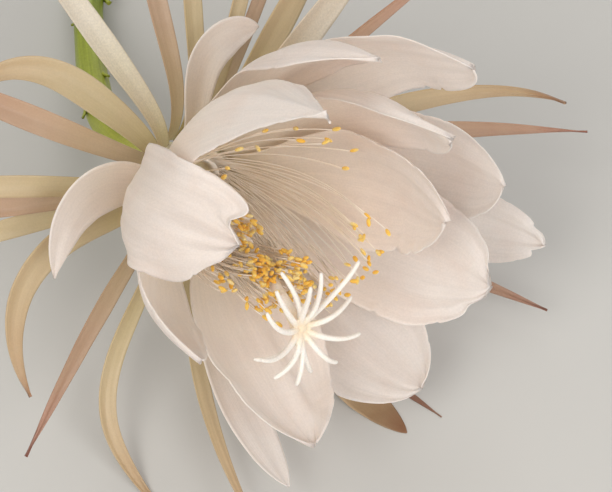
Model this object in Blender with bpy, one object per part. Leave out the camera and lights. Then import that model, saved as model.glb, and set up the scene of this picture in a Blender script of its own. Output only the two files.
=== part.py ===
"""One open night-blooming orchid cactus flower, picked and laid on a table. Metres, +Z up."""
from math import cos, pi, radians, sin
from random import Random

import bmesh
import bpy
import numpy as np
from mathutils import Matrix, Vector

MM = 0.001

# The way the bloom faces: the axis of its cup, heading from +X towards +Y and lift above the table
AXIS_HEADING = -46.1
AXIS_LIFT = 26.6
# The middle of the bloom's outline on the table, measured from the throat
ORIGIN_FROM_THROAT = Vector((7.5 * MM, 16 * MM, 0))

# Floral tube and ovary: length, headings and droop along it, and its radius by distance from the throat
TUBE_LENGTH = 168 * MM
TUBE_HEADINGS = (134, 134, 118, 104, 98, 95, 94)
TUBE_DROOPS = (26.6, 27, 26, 23, 18, 10, 0)
TUBE_RADII = ((0, 12.8), (8, 12.0), (14, 10.6), (20, 9.2), (30, 7.3), (45, 6.4), (100, 5.9), (138, 5.9),
              (150, 6.8), (160, 6.4), (166, 4.6), (168, 3.6))
THROAT_RADII = ((0, 11.4), (1, 10.6), (5, 9.2), (10, 6.6), (14, 3.4))
TUBE_SIDES = 16
# The middle of the ovary, and how far its round underside is pressed flat on the table
OVARY_AT = 150 * MM
TABLE_BITE = 1.0 * MM

# Tepals: thickness, clearance of a seat from the tube, the narrowest half width of a tip, and the share of the
# length over which the curve of the seat turns into the tepal's own hollow
TEPAL_THICKNESS = 0.7 * MM
SEAT_GAP = 0.35 * MM
TIP_HALF_WIDTH = 0.5 * MM
SEAT_SHARE = 0.25
# Height over which a low tepal bends to lie along the table, and the height that is pressed flat to it
TABLE_EASE = 2 * MM
TABLE_PRESS = 0.25 * MM

# Outlines: share of the width at the seat, widest place, and bluntness of the tip
BROAD = (0.25, 0.60, 0.95)
SPOON = (0.28, 0.58, 0.70)
HEART = (0.30, 0.66, 1.00)
HOOD = (0.35, 0.34, 0.40)
STRAP = (0.50, 0.45, 0.25)
PADDLE = (0.40, 0.62, 0.70)

# Each tepal: turn about the axis from the top, clockwise seen from the front; seat behind the throat in mm;
# length and width in mm; pitch away from the axis and heading off its own plane from seat to tip, in degrees;
# roll about its own midline; half angle of its hollow from seat to tip; outline; ruffle of its edge as height
# in mm, number of waves and phase
INNER_TEPALS = (
    dict(turn=1, seat=5.5, length=121, width=56, pitch=(39, 45, 30, 11, 4), roll=(0, -2, -14), cup=(20, 54, 50),
         outline=HOOD),
    dict(turn=315, seat=8.5, length=101, width=39, pitch=(45, 53, 30, -17, -44), cup=(20, 30, 14), outline=HEART,
         ruffle=(1.4, 3.5, 1.0)),
    dict(turn=271, seat=4.5, length=88, width=43, pitch=(42, 48, 32, 12, 2), roll=(0, 8, 24), cup=(20, 36, 16),
         outline=(0.30, 0.50, 0.50)),
    dict(turn=207, seat=1, length=88, width=50, pitch=(44, 50, 42, 28, 20), cup=(20, 45, 30),
         outline=(0.24, 0.50, 0.65)),
    dict(turn=169, seat=7, length=98, width=46, pitch=(48, 56, 46, 32, 24), cup=(20, 38, 20), outline=BROAD),
    dict(turn=137, seat=4, length=98, width=48, pitch=(40, 47, 38, 27, 20), cup=(20, 38, 20), outline=BROAD),
    dict(turn=104.6, seat=0, length=90, width=47, pitch=(32, 36, 21, -4, -14), cup=(20, 42, 30), outline=SPOON),
    dict(turn=62, seat=1.7, length=104, width=43, pitch=(37, 42, 26, -1, -12), cup=(20, 45, 45), outline=SPOON),
    dict(turn=107, seat=8, length=108, width=40, pitch=(54, 60, 34, 9, -2), cup=(15, 30, 20), outline=BROAD),
    dict(turn=128, seat=10.5, length=120, width=26, pitch=(54, 66, 50, 34, 28), cup=(10, 15, 10),
         outline=(0.30, 0.72, 0.80)),
    dict(turn=38, seat=8, length=100, width=38, pitch=(46, 53, 40, 14, -4), cup=(15, 45, 40), outline=SPOON),
    dict(turn=67, seat=9.5, length=112, width=40, pitch=(52, 58, 38, 14, 2), cup=(15, 30, 18), outline=BROAD),
)

OUTER_TEPALS = (
    dict(turn=324, seat=19, length=116, width=9, pitch=(55, 100, 108, 108, 106)),
    dict(turn=342, seat=16, length=88, width=11, pitch=(55, 108, 120, 110, 90), heading=(0, 0, -10, -60, -130)),
    dict(turn=356, seat=13, length=116, width=9, pitch=(55, 104, 108, 108, 108)),
    dict(turn=21, seat=17, length=112, width=8, pitch=(55, 104, 108, 110, 108)),
    dict(turn=32, seat=15, length=114, width=8, pitch=(55, 102, 106, 106, 106)),
    dict(turn=47, seat=17, length=112, width=7, pitch=(50, 92, 96, 96, 96)),
    dict(turn=55, seat=19, length=108, width=6, pitch=(50, 90, 94, 94, 94)),
    dict(turn=60, seat=15.5, length=112, width=12, pitch=(50, 84, 88, 88, 88)),
    dict(turn=65, seat=13, length=114, width=13, pitch=(50, 76, 79, 80, 80)),
    dict(turn=73, seat=11, length=112, width=6, pitch=(50, 68, 69, 68, 66)),
    dict(turn=98, seat=13, length=130, width=9, pitch=(50, 64, 60, 36, 0)),
    dict(turn=107, seat=16, length=134, width=9, pitch=(50, 62, 56, 42, 34)),
    dict(turn=122, seat=13.5, length=98, width=9, pitch=(50, 68, 56, 42, 34)),
    dict(turn=141, seat=15, length=134, width=9, pitch=(56, 70, 56, 42, 36)),
    dict(turn=154, seat=12, length=92, width=10, pitch=(50, 70, 62, 52, 44)),
    dict(turn=169, seat=15, length=120, width=8, pitch=(50, 63, 57, 45, 40)),
    dict(turn=176, seat=11, length=112, width=15, pitch=(48, 63, 59, 50, 47), outline=PADDLE),
    dict(turn=192, seat=14, length=98, width=10, pitch=(52, 74, 66, 54, 46)),
    dict(turn=208, seat=10, length=103, width=18, pitch=(48, 66, 54, 36, 26), outline=PADDLE),
    dict(turn=214, seat=13, length=124, width=7, pitch=(50, 70, 56, 38, 32)),
    dict(turn=247, seat=17, length=98, width=8, pitch=(55, 86, 82, 80, 80)),
    dict(turn=236, seat=14, length=122, width=8, pitch=(52, 89, 84.5, 55.5, 41), heading=(0, 0, -10, -45, -55)),
    dict(turn=286, seat=11.5, length=98, width=12, pitch=(50, 96, 92, 66, 40), heading=(0, 0, -28, -60, -80)),
    dict(turn=287, seat=20, length=112, width=8, pitch=(60, 104, 104, 104, 104)),
    dict(turn=296, seat=17, length=112, width=8, pitch=(60, 104, 104, 104, 104)),
    dict(turn=303, seat=14, length=112, width=8, pitch=(60, 104, 104, 104, 104)),
    dict(turn=308, seat=10, length=65, width=18, pitch=(45, 84, 84, 80), heading=(0, 0, -60, -90),
         outline=(0.4, 0.5, 0.3)),
    dict(turn=29, seat=10.5, length=54, width=15, pitch=(50, 86, 84, 84, 80), heading=(0, 0, 10, 60, 90),
         outline=PADDLE),
)

# Grid steps along and across a tepal
INNER_STEPS = (11, 6)
OUTER_STEPS = (9, 2)

# Green scales on the tube: distance from the throat, turn, length and width in mm
SCALES = ((40, 20, 13, 3.4), (58, 140, 12, 3.2), (74, 300, 13, 3.4), (92, 60, 11, 3.2), (110, 200, 10, 3.0),
          (128, 330, 9, 3.0), (144, 100, 8, 3.0))

# Stamens: number, first and last turn, distance of the anthers from the axis and past the throat, sag, in mm
STAMEN_GROUPS = (
    (7, -30, 95, 33, 43, 1),
    (12, 112, 156, 26, 57, 6),
    (10, 162, 194, 22, 60, 7),
    (18, 196, 222, 17, 54, 8),
    (18, 252, 276, 16, 48, 8),
    (4, 254, 270, 27, 42, 6),
    (18, 278, 322, 12, 38, 5),
)
# Turn of the first root on the collar; roots stand in two rows this far apart
FIRST_ROOT_TURN = -40
ROOT_ROWS = 0.6 * MM
FILAMENT_RADIUS = 0.32 * MM
ANTHER_LENGTH = 3.0 * MM
ANTHER_RADIUS = 0.75 * MM
# The collar that carries them: its place behind the throat in mm, its width, and its gap from the wall
COLLAR_FROM, COLLAR_TO = 1.2, 4.6
COLLAR_WIDTH = 1.8 * MM
COLLAR_GAP = 0.4 * MM

# Pistil: style radius, how deep its root stands, the place of its head, and each lobe's turn, pitch and length
STYLE_RADIUS = 1.9 * MM
STYLE_ROOT = 13.2 * MM
STIGMA_TURN, STIGMA_OUT, STIGMA_FORWARD = 237, 24 * MM, 70 * MM
LOBES = ((64, 72, 25), (32, 68, 20), (11, 60, 20), (3, 82, 22), (346, 78, 20), (323, 74, 20), (282, 70, 21),
         (264, 94, 17), (242, 76, 17), (216, 74, 17), (194, 84, 18), (170, 72, 18), (136, 74, 20), (100, 80, 18))
LOBE_RADIUS = 1.1 * MM
HUB_RADIUS = 3.0 * MM
# Edges shorter than this are dropped where threads cross
SLIVER = 0.001 * MM


def keyed(values, t):
    """Smooth curve through evenly spaced values."""
    values = np.asarray(values, float)
    last = len(values) - 1
    if last == 0:
        return values[0] + 0 * t
    x = np.clip(t, 0, 1) * last
    i = np.minimum(x.astype(int), last - 1)
    f = x - i
    a, b = values[np.maximum(i - 1, 0)], values[i]
    c, d = values[i + 1], values[np.minimum(i + 2, last)]
    return b + 0.5 * f * (c - a + f * (2 * a - 5 * b + 4 * c - d + f * (3 * (b - c) + d - a)))


def profile(table, distance):
    """Radius in metres at a distance in metres along the tube."""
    return np.interp(distance / MM, [row[0] for row in table], [row[1] for row in table]) * MM


def bearing(heading, lift):
    h, v = np.radians(heading), np.radians(lift)
    return np.stack([np.cos(v) * np.cos(h), np.cos(v) * np.sin(h), np.sin(v)], -1)


AXIS = Vector(bearing(AXIS_HEADING, AXIS_LIFT))
TOP = (Vector((0, 0, 1)) - AXIS * AXIS.z).normalized()
SIDE = TOP.cross(AXIS)


def tube_route(steps=84):
    """Centre line of the tube from the throat at zero to the cut end."""
    t = (np.arange(steps) + 0.5) / steps
    runs = bearing(keyed(TUBE_HEADINGS, t), -keyed(TUBE_DROOPS, t)) * TUBE_LENGTH / steps
    return np.vstack([np.zeros(3), np.cumsum(runs, 0)])


ROUTE = tube_route()
OVARY_RADIUS = profile(TUBE_RADII, OVARY_AT)
THROAT = Vector((0, 0, OVARY_RADIUS - TABLE_BITE - ROUTE[:, 2].min())) - ORIGIN_FROM_THROAT


def route_frame(distance):
    """Centre and two cross directions of the tube at a distance from the throat."""
    x = distance / TUBE_LENGTH * (len(ROUTE) - 1)
    i = int(min(max(x, 0), len(ROUTE) - 2))
    centre = THROAT + Vector(ROUTE[i] + (ROUTE[i + 1] - ROUTE[i]) * (x - i))
    ahead = Vector(ROUTE[min(i + 2, len(ROUTE) - 1)] - ROUTE[max(i - 1, 0)]).normalized()
    up = (TOP - ahead * TOP.dot(ahead)).normalized()
    return centre, up, up.cross(-ahead)


def place(forward, out, turn):
    """A point seen from the throat, by its distance along the axis, its distance from it and its turn."""
    a = radians(turn)
    return AXIS * forward + (TOP * cos(a) + SIDE * sin(a)) * out


def finish(bm, name, colour, roughness):
    """A closed, outward-facing, triangulated object with its material."""
    bmesh.ops.triangulate(bm, faces=bm.faces[:])
    bmesh.ops.recalc_face_normals(bm, faces=bm.faces[:])
    mesh = bpy.data.meshes.new(name)
    bm.to_mesh(mesh)
    bm.free()
    mesh.shade_smooth()
    mesh.set_sharp_from_angle(angle=radians(50))
    material = bpy.data.materials.new(name)
    material.use_nodes = True
    shader = material.node_tree.nodes["Principled BSDF"]
    shader.inputs["Base Color"].default_value = (*colour, 1)
    shader.inputs["Roughness"].default_value = roughness
    mesh.materials.append(material)
    obj = bpy.data.objects.new(name, mesh)
    PARTS.objects.link(obj)
    return obj


def sphere_mesh(rings, sides):
    """A closed ball whose rings are ready to be moved along a profile, with the ring of each point."""
    bm = bmesh.new()
    bmesh.ops.create_uvsphere(bm, u_segments=sides, v_segments=rings, radius=1)
    for v in bm.verts:
        v.co.z = round((1 - np.arccos(max(-1, min(1, v.co.z))) / pi) * rings)
    return bm


def outline_share(outline, t):
    """Share of the full width along a tepal."""
    claw, widest, blunt = outline
    rise = claw + (1 - claw) * np.sin(np.clip(t / widest, 0, 1) * pi / 2) ** 1.6
    x = np.clip((t - widest) / (1 - widest), 0, 1)
    fall = (1 - x ** (1.2 + 1.6 * blunt)) ** (1.15 - 0.62 * blunt)
    return np.where(t < widest, rise, fall)


def tepal_frames(row, t, steps=96):
    """Midline points of a tepal with its along, inward and across directions at each t."""
    a = radians(row["turn"])
    out = np.array(TOP * cos(a) + SIDE * sin(a))
    around = np.array(SIDE * cos(a) - TOP * sin(a))
    axis = np.array(AXIS)

    def directions(t):
        pitch = np.radians(keyed(row["pitch"], t))[:, None]
        heading = np.radians(keyed(row.get("heading", (0,)), t))[:, None]
        aside = np.cos(heading) * out + np.sin(heading) * around
        return np.cos(pitch) * axis + np.sin(pitch) * aside, np.sin(pitch) * axis - np.cos(pitch) * aside

    seat = row["seat"] * MM
    seat_radius = profile(TUBE_RADII, seat) + SEAT_GAP + TEPAL_THICKNESS
    start = np.array(THROAT) - axis * seat + out * seat_radius
    fine = (np.arange(steps) + 0.5) / steps
    path = np.vstack([start, start + np.cumsum(directions(fine)[0], 0) * row["length"] * MM / steps])
    along, inward = directions(t)
    across = np.cross(along, inward)
    roll = np.radians(keyed(row.get("roll", (0,)), t))[:, None]
    inward, across = np.cos(roll) * inward + np.sin(roll) * across, np.cos(roll) * across - np.sin(roll) * inward
    place_on = np.linspace(0, 1, steps + 1)
    points = np.stack([np.interp(t, place_on, path[:, k]) for k in range(3)], -1)
    return points, inward, across, seat_radius


def tepal_points(row, t, s):
    """Points of a tepal's outer face at t from seat to tip and s from -1 to 1 across."""
    points, inward, across, seat_radius = tepal_frames(row, t)
    half = np.maximum(row["width"] * MM / 2 * outline_share(row.get("outline", STRAP), t), TIP_HALF_WIDTH)
    cup = np.radians(keyed(row.get("cup", (25, 28, 12)), t))
    settle = np.clip(t / SEAT_SHARE, 0, 1)
    cup = half / seat_radius * (1 - settle) + cup * settle
    bend = half / cup
    wave, waves, phase = row.get("ruffle", (0, 1, 0))
    lift = wave * MM * np.clip(t / 0.5, 0, 1) ** 2 * np.abs(s) ** 2.5
    lift = lift * np.sin(2 * pi * waves * t + phase + 2.1 * (s < 0))
    sideways, inwards = bend * np.sin(cup * s), bend * (1 - np.cos(cup * s)) + lift
    return points + across * sideways[:, None] + inward * inwards[:, None]


def above_table(z):
    """Height of an outer face that eases onto the table instead of passing through it."""
    eased = z if z > TABLE_EASE else TABLE_EASE * np.exp(z / TABLE_EASE - 1)
    return eased if eased > TABLE_PRESS else 0


def tepal(name, row, steps, colour):
    """A curved blade on its own seat, never lower than the table."""
    bm = bmesh.new()
    bmesh.ops.create_grid(bm, x_segments=steps[0], y_segments=steps[1], size=1)
    grid = np.array([v.co for v in bm.verts])
    u = (grid[:, 0] + 1) / 2
    t = 0.5 * u + 0.5 * np.sin(u * pi / 2)
    for v, co in zip(bm.verts, tepal_points(row, t, grid[:, 1])):
        v.co = co
        v.co.z = above_table(co[2])
    bmesh.ops.triangulate(bm, faces=bm.faces[:])
    bmesh.ops.solidify(bm, geom=bm.faces[:], thickness=TEPAL_THICKNESS)
    return finish(bm, name, colour, 0.5)


def floral_tube():
    """Solid tube and ovary on its route, open in a throat at the front, with small green scales."""
    outer = [(d, r) for d, r in TUBE_RADII]
    fill = [(d, profile(TUBE_RADII, d * MM) / MM) for d in (58, 72, 86, 114, 127, 144, 155)]
    wall = sorted(outer + fill, reverse=True)
    stations = [(wall[0][0], 0)] + wall + list(THROAT_RADII) + [(THROAT_RADII[-1][0], 0)]
    bm = sphere_mesh(len(stations) - 1, TUBE_SIDES)
    for v in bm.verts:
        distance, radius = stations[int(v.co.z)]
        centre, up, side = route_frame(distance * MM)
        turn = np.arctan2(v.co.y, v.co.x) + pi / TUBE_SIDES
        v.co = centre + (up * cos(turn) + side * sin(turn)) * radius * MM
        v.co.z = max(v.co.z, 0)
    tube = finish(bm, "floral_tube", (0.42, 0.46, 0.12), 0.45)
    for k, row in enumerate(SCALES):
        join(tube, scale(k, *row))
    keep_outer_skin(tube)


def scale(k, distance, turn, length, width):
    """A narrow pointed scale whose root is sunk in the tube."""
    bm = bmesh.new()
    bmesh.ops.create_cone(bm, cap_ends=True, segments=6, radius1=1, radius2=0.15, depth=1)
    for v in bm.verts:
        t = v.co.z + 0.5
        centre, up, side = route_frame((distance - t * length) * MM)
        radius = profile(TUBE_RADII, (distance - t * length) * MM)
        a = radians(turn)
        out, around = up * cos(a) + side * sin(a), side * cos(a) - up * sin(a)
        rise = -0.9 + 3.4 * t * t + 1.1 * v.co.x
        v.co = centre + out * (radius + rise * MM) + around * v.co.y * width / 2 * MM
    return finish(bm, f"scale_{k}", (0.30, 0.36, 0.08), 0.5)


def join(target, extra):
    """Unites one closed object with another for good; the exact solver leaves seams open at crossing threads."""
    union = target.modifiers.new("union", "BOOLEAN")
    union.operation = "UNION"
    union.solver = "MANIFOLD"
    union.object = extra
    bpy.context.view_layer.update()
    mesh = bpy.data.meshes.new_from_object(target.evaluated_get(bpy.context.evaluated_depsgraph_get()))
    target.modifiers.clear()
    target.data = mesh
    bpy.data.objects.remove(extra)


def keep_outer_skin(obj):
    """Fills the closed pockets left between crossing threads by keeping the largest skin only."""
    bm = bmesh.new()
    bm.from_mesh(obj.data)
    bmesh.ops.dissolve_degenerate(bm, dist=SLIVER, edges=bm.edges[:])
    bmesh.ops.triangulate(bm, faces=bm.faces[:])
    left = set(bm.faces)
    skins = []
    while left:
        skin, edge = set(), {left.pop()}
        while edge:
            skin |= edge
            edge = {other for face in edge for e in face.edges for other in e.link_faces} - skin
        left -= skin
        skins.append(skin)
    skins.sort(key=len)
    bmesh.ops.delete(bm, geom=[face for skin in skins[:-1] for face in skin], context="FACES")
    bm.to_mesh(obj.data)
    bm.free()


def thread(bm, path, radii, sides):
    """A closed thin rod on a path of points, as rings of a ball moved along it."""
    part = sphere_mesh(len(path) + 1, sides)
    last = len(path) - 1
    for v in part.verts:
        k = int(v.co.z) - 1
        i = min(max(k, 0), last)
        ahead = (path[min(i + 1, last)] - path[max(i - 1, 0)]).normalized()
        up = ahead.cross(AXIS.cross(ahead) if abs(ahead.dot(AXIS)) < 0.95 else TOP).normalized()
        side = ahead.cross(up)
        radius = radii[i] if 0 <= k <= last else 0
        turn = np.arctan2(v.co.y, v.co.x)
        v.co = path[i] + (up * cos(turn) + side * sin(turn)) * radius
    bmesh.ops.recalc_face_normals(part, faces=part.faces[:])
    mesh = bpy.data.meshes.new("thread")
    part.to_mesh(mesh)
    part.free()
    bm.from_mesh(mesh)
    bpy.data.meshes.remove(mesh)


def stamen_path(root_turn, root_out, turn, out, forward, sag, steps=4):
    """A filament from the collar, sagging outward, then rising to its anther."""
    root_back = (COLLAR_FROM + COLLAR_TO) / 2 * MM
    points = []
    for t in np.linspace(0, 1, steps):
        reach = root_out + (out - root_out) * t + sag * sin(pi * t) * (0.4 + 0.6 * t)
        points.append(place((forward + root_back) * t - root_back, reach, root_turn + (turn - root_turn) * t ** 0.5))
    return points


def stamens():
    """Filaments and anthers on one collar in the throat."""
    random = Random(10)
    collar = bmesh.new()
    bmesh.ops.create_cone(collar, cap_ends=False, segments=24, radius1=1, radius2=1, depth=2)
    for v in collar.verts:
        near = COLLAR_FROM if v.co.z > 0 else COLLAR_TO
        radius = profile(THROAT_RADII, near * MM) - COLLAR_GAP
        v.co = (TOP * v.co.x + SIDE * v.co.y) * radius - AXIS * near * MM
    bmesh.ops.recalc_face_normals(collar, faces=collar.faces[:])
    bmesh.ops.solidify(collar, geom=collar.faces[:], thickness=COLLAR_WIDTH)
    body = finish(collar, "stamens", (0.93, 0.72, 0.30), 0.5)
    root_out = profile(THROAT_RADII, (COLLAR_FROM + COLLAR_TO) / 2 * MM) - COLLAR_GAP - COLLAR_WIDTH * 0.6
    total = sum(group[0] for group in STAMEN_GROUPS)
    made = 0
    for count, first, last, out, forward, sag in STAMEN_GROUPS:
        for k in range(count):
            turn = first + (last - first) * (k + 0.5) / count + random.uniform(-0.6, 0.6)
            root_turn = (turn + FIRST_ROOT_TURN + 360 * made / total) / 2
            reach = out + random.uniform(-4, 4)
            row = ROOT_ROWS / 2 if made % 2 else -ROOT_ROWS / 2
            path = stamen_path(root_turn, root_out + row, turn, reach * MM,
                               (forward + random.uniform(-6, 6)) * MM, (sag + random.uniform(-1, 2)) * MM)
            ahead = (path[-1] - path[-2]).normalized()
            lean = (ahead * 1.5 + Vector([random.uniform(-1, 1) for _ in range(3)])).normalized()
            path += [path[-1] + lean * ANTHER_LENGTH * share for share in (0.4, 1)]
            stem = len(path) - 2
            thin, thick = FILAMENT_RADIUS, ANTHER_RADIUS
            one = bmesh.new()
            thread(one, path, [thin] * stem + [thick, thick * 0.6], 3)
            join(body, finish(one, "stamen", (0.90, 0.80, 0.55), 0.5))
            made += 1
    keep_outer_skin(body)
    body.location = THROAT


def pistil():
    """Style from the bottom of the throat to a head of spreading stigma lobes."""
    bm = bmesh.new()
    head = place(STIGMA_FORWARD, STIGMA_OUT, STIGMA_TURN)
    path = []
    for t in np.linspace(0, 1, 9):
        path.append(place(STIGMA_FORWARD * t - STYLE_ROOT * (1 - t), STIGMA_OUT * t ** 1.6, STIGMA_TURN))
    thread(bm, path, [STYLE_RADIUS * share for share in [0.85] + [1] * 7 + [1.25]], 8)
    style = finish(bm, "pistil", (0.93, 0.88, 0.80), 0.45)
    hub = bmesh.new()
    bmesh.ops.create_icosphere(hub, subdivisions=2, radius=HUB_RADIUS, matrix=Matrix.Translation(head))
    join(style, finish(hub, "hub", (0.93, 0.88, 0.80), 0.45))
    for turn, pitch, length in LOBES:
        a = radians(turn)
        points = []
        for k in range(5):
            bend = radians(pitch * (0.75 + 0.13 * k))
            step = AXIS * cos(bend) + (TOP * cos(a) + SIDE * sin(a)) * sin(bend)
            reach = length * MM / 4 if points else HUB_RADIUS * 0.6
            points.append((points[-1] if points else head) + step * reach)
        lobe = bmesh.new()
        thread(lobe, points, [LOBE_RADIUS * share for share in (0.5, 1.0, 1.0, 0.85, 0.5)], 4)
        join(style, finish(lobe, "lobe", (0.95, 0.92, 0.88), 0.45))
    keep_outer_skin(style)
    style.location = THROAT


for old in list(bpy.data.objects):
    bpy.data.objects.remove(old)
PARTS = bpy.data.collections.new("orchid_cactus")
bpy.context.scene.collection.children.link(PARTS)

floral_tube()
for n, tepal_row in enumerate(INNER_TEPALS, 1):
    tepal(f"inner_tepal_{n:02}", tepal_row, INNER_STEPS, (0.80, 0.70, 0.60))
for n, tepal_row in enumerate(OUTER_TEPALS, 1):
    tepal(f"outer_tepal_{n:02}", tepal_row, OUTER_STEPS, (0.48, 0.36, 0.16))
stamens()
pistil()
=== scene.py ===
"""A picked night-blooming orchid cactus flower that lies on its side on a pale table."""
from math import cos, pi, radians, sin
from random import Random

import bmesh
import bpy
import numpy as np
from mathutils import Matrix, Vector, noise


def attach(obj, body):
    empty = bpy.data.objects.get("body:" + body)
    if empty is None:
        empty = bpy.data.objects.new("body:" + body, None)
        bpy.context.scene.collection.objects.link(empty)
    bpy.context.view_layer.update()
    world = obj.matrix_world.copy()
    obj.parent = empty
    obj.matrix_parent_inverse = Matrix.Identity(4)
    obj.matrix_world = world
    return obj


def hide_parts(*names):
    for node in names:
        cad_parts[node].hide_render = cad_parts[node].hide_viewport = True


MM = 0.001
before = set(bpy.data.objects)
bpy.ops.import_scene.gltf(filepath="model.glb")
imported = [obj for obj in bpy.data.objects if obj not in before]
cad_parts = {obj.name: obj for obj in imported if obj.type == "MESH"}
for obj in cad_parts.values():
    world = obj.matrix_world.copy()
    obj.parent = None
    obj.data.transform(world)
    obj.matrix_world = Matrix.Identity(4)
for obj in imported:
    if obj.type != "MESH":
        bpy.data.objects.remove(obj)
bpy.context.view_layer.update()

# The floral tube is one grown green stalk that carries the bloom at its open throat and swells to the ovary
# at its cut end. Its skin is waxy and faintly ribbed, and a few narrow scales stand on it.
AXIS_HEADING = -46.1
AXIS_LIFT = 26.6
ORIGIN_FROM_THROAT = Vector((7.5 * MM, 16 * MM, 0))
TUBE_END = 168
TUBE_LENGTH = TUBE_END * MM
TUBE_HEADINGS = (134, 134, 118, 104, 98, 95, 94)
TUBE_DROOPS = (26.6, 27, 26, 23, 18, 10, 0)
TUBE_RADII = ((0, 12.8), (8, 12.0), (14, 10.6), (20, 9.2), (30, 7.3), (45, 6.4), (100, 5.9), (138, 5.9),
              (150, 6.8), (160, 6.4), (166, 4.6), (168, 3.6))
THROAT_RADII = ((0, 11.4), (1, 10.6), (5, 9.2), (10, 6.6), (14, 3.4))
# Rings past the profile's ends, as distance and radius: the cut end and the rounded rim
CUT_END = ((168, 0), (168, 0.6), (168, 2.4), (167.6, 3.4))
RIM = ((0.4, 12.5), (0, 12.1), (0, 11.7))
THROAT_RINGS = (0.5, 1.5, 3, 5, 7, 9, 11, 12.5, 13.6)
THROAT_FLOOR = (14, 0)
OVARY_AT = 150 * MM
TABLE_BITE = 1.0 * MM
TUBE_SIDES = 48
FIRST_RING = 166
TUBE_RING_STEP = 2.0
RIBS = 5
RIB_HEIGHT = 0.22 * MM
RIB_TWIST = 40
RIB_FADES = (30, 20)
SKIN_WAVES = 90
SKIN_WAVE_HEIGHT = 0.12 * MM
SMOOTH_NEAR_BLOOM = 12
SCALE_GRID = (9, 4)
SCALE_THICKNESS = 0.7 * MM
SCALE_TIP = 0.1 * MM
SCALE_RISE, SCALE_SUNK, SCALE_ROUND = 3.1, 0.5, 0.9
# Each scale's distance along the tube, its turn round it, its length and its width
SCALES = ((40, 20, 13, 3.4), (58, 140, 12, 3.2), (74, 300, 13, 3.4), (92, 60, 11, 3.2), (110, 200, 10, 3.0),
          (128, 330, 9, 3.0), (144, 100, 8, 3.0))


def keyed(values, t):
    """Smooth curve through evenly spaced values."""
    values = np.asarray(values, float)
    last = len(values) - 1
    if last == 0:
        return values[0] + 0 * t
    x = np.clip(t, 0, 1) * last
    i = np.minimum(x.astype(int), last - 1)
    f = x - i
    a, b = values[np.maximum(i - 1, 0)], values[i]
    c, d = values[i + 1], values[np.minimum(i + 2, last)]
    return b + 0.5 * f * (c - a + f * (2 * a - 5 * b + 4 * c - d + f * (3 * (b - c) + d - a)))


def profile(table, distance):
    """Radius in metres at a distance in metres along the tube."""
    return np.interp(distance / MM, [row[0] for row in table], [row[1] for row in table]) * MM


def soft_profile(distance, reach=2.5 * MM):
    """The tube's radius with the corners of its profile rounded."""
    near = [profile(TUBE_RADII, distance + reach * share) for share in (-1, -0.5, 0, 0.5, 1)]
    return min(sum(near) / len(near), profile(TUBE_RADII, distance))


def bearing(heading, lift):
    """Unit direction of a heading on the table and a lift above it."""
    h, v = np.radians(heading), np.radians(lift)
    return np.stack([np.cos(v) * np.cos(h), np.cos(v) * np.sin(h), np.sin(v)], -1)


AXIS = Vector(bearing(AXIS_HEADING, AXIS_LIFT))
TOP = (Vector((0, 0, 1)) - AXIS * AXIS.z).normalized()
SIDE = TOP.cross(AXIS)


def tube_route(steps=84):
    """Centre line of the tube from the throat at zero to the cut end."""
    t = (np.arange(steps) + 0.5) / steps
    runs = bearing(keyed(TUBE_HEADINGS, t), -keyed(TUBE_DROOPS, t)) * TUBE_LENGTH / steps
    return np.vstack([np.zeros(3), np.cumsum(runs, 0)])


ROUTE = tube_route()
OVARY_RADIUS = profile(TUBE_RADII, OVARY_AT)
THROAT = Vector((0, 0, OVARY_RADIUS - TABLE_BITE - ROUTE[:, 2].min())) - ORIGIN_FROM_THROAT


def route_frame(distance):
    """Centre and two cross directions of the tube at a distance from the throat."""
    x = distance / TUBE_LENGTH * (len(ROUTE) - 1)
    i = int(min(max(x, 0), len(ROUTE) - 2))
    centre = THROAT + Vector(ROUTE[i] + (ROUTE[i + 1] - ROUTE[i]) * (x - i))
    ahead = Vector(ROUTE[min(i + 2, len(ROUTE) - 1)] - ROUTE[max(i - 1, 0)]).normalized()
    up = (TOP - ahead * TOP.dot(ahead)).normalized()
    return centre, up, up.cross(-ahead)


def linear(hex_colour):
    """An sRGB hex colour as linear red, green, blue and alpha."""
    parts = [int(hex_colour[k:k + 2], 16) / 255 for k in (1, 3, 5)]
    return [c / 12.92 if c <= 0.04045 else ((c + 0.055) / 1.055) ** 2.4 for c in parts] + [1]


def add(tree, kind, settings=None, **links):
    """One node with its settings and the sockets or values that go into its inputs."""
    node = tree.nodes.new("ShaderNode" + kind)
    for key, value in (settings or {}).items():
        setattr(node, key, value)
    for key, value in links.items():
        socket = node.inputs[int(key[1:])] if key[0] == "_" else node.inputs[key.replace("_", " ")]
        if isinstance(value, bpy.types.NodeSocket):
            tree.links.new(value, socket)
        else:
            socket.default_value = value
    return node


def ramp(tree, factor, stops):
    """A colour ramp through hex colours at their places."""
    node = add(tree, "ValToRGB", _0=factor)
    points = node.color_ramp.elements
    while len(points) < len(stops):
        points.new(0.5)
    for point, (where, colour) in zip(points, stops):
        point.position = where
        point.color = linear(colour)
    return node.outputs[0]


# How far red, green and blue light spread in plant tissue, as shares of a material's subsurface scale
GLOW_REACH = (1.0, 0.8, 0.65)


def new_material(name, roughness, **sockets):
    """A material, its tree and its shader, whose even values are set on the shader's own sockets."""
    material = bpy.data.materials.new(name)
    material.use_nodes = True
    shader = material.node_tree.nodes["Principled BSDF"]
    shader.inputs["Roughness"].default_value = roughness
    shader.inputs["Subsurface Radius"].default_value = GLOW_REACH
    for key, value in sockets.items():
        shader.inputs[key.replace("_", " ")].default_value = value
    return material, material.node_tree, shader


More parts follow.
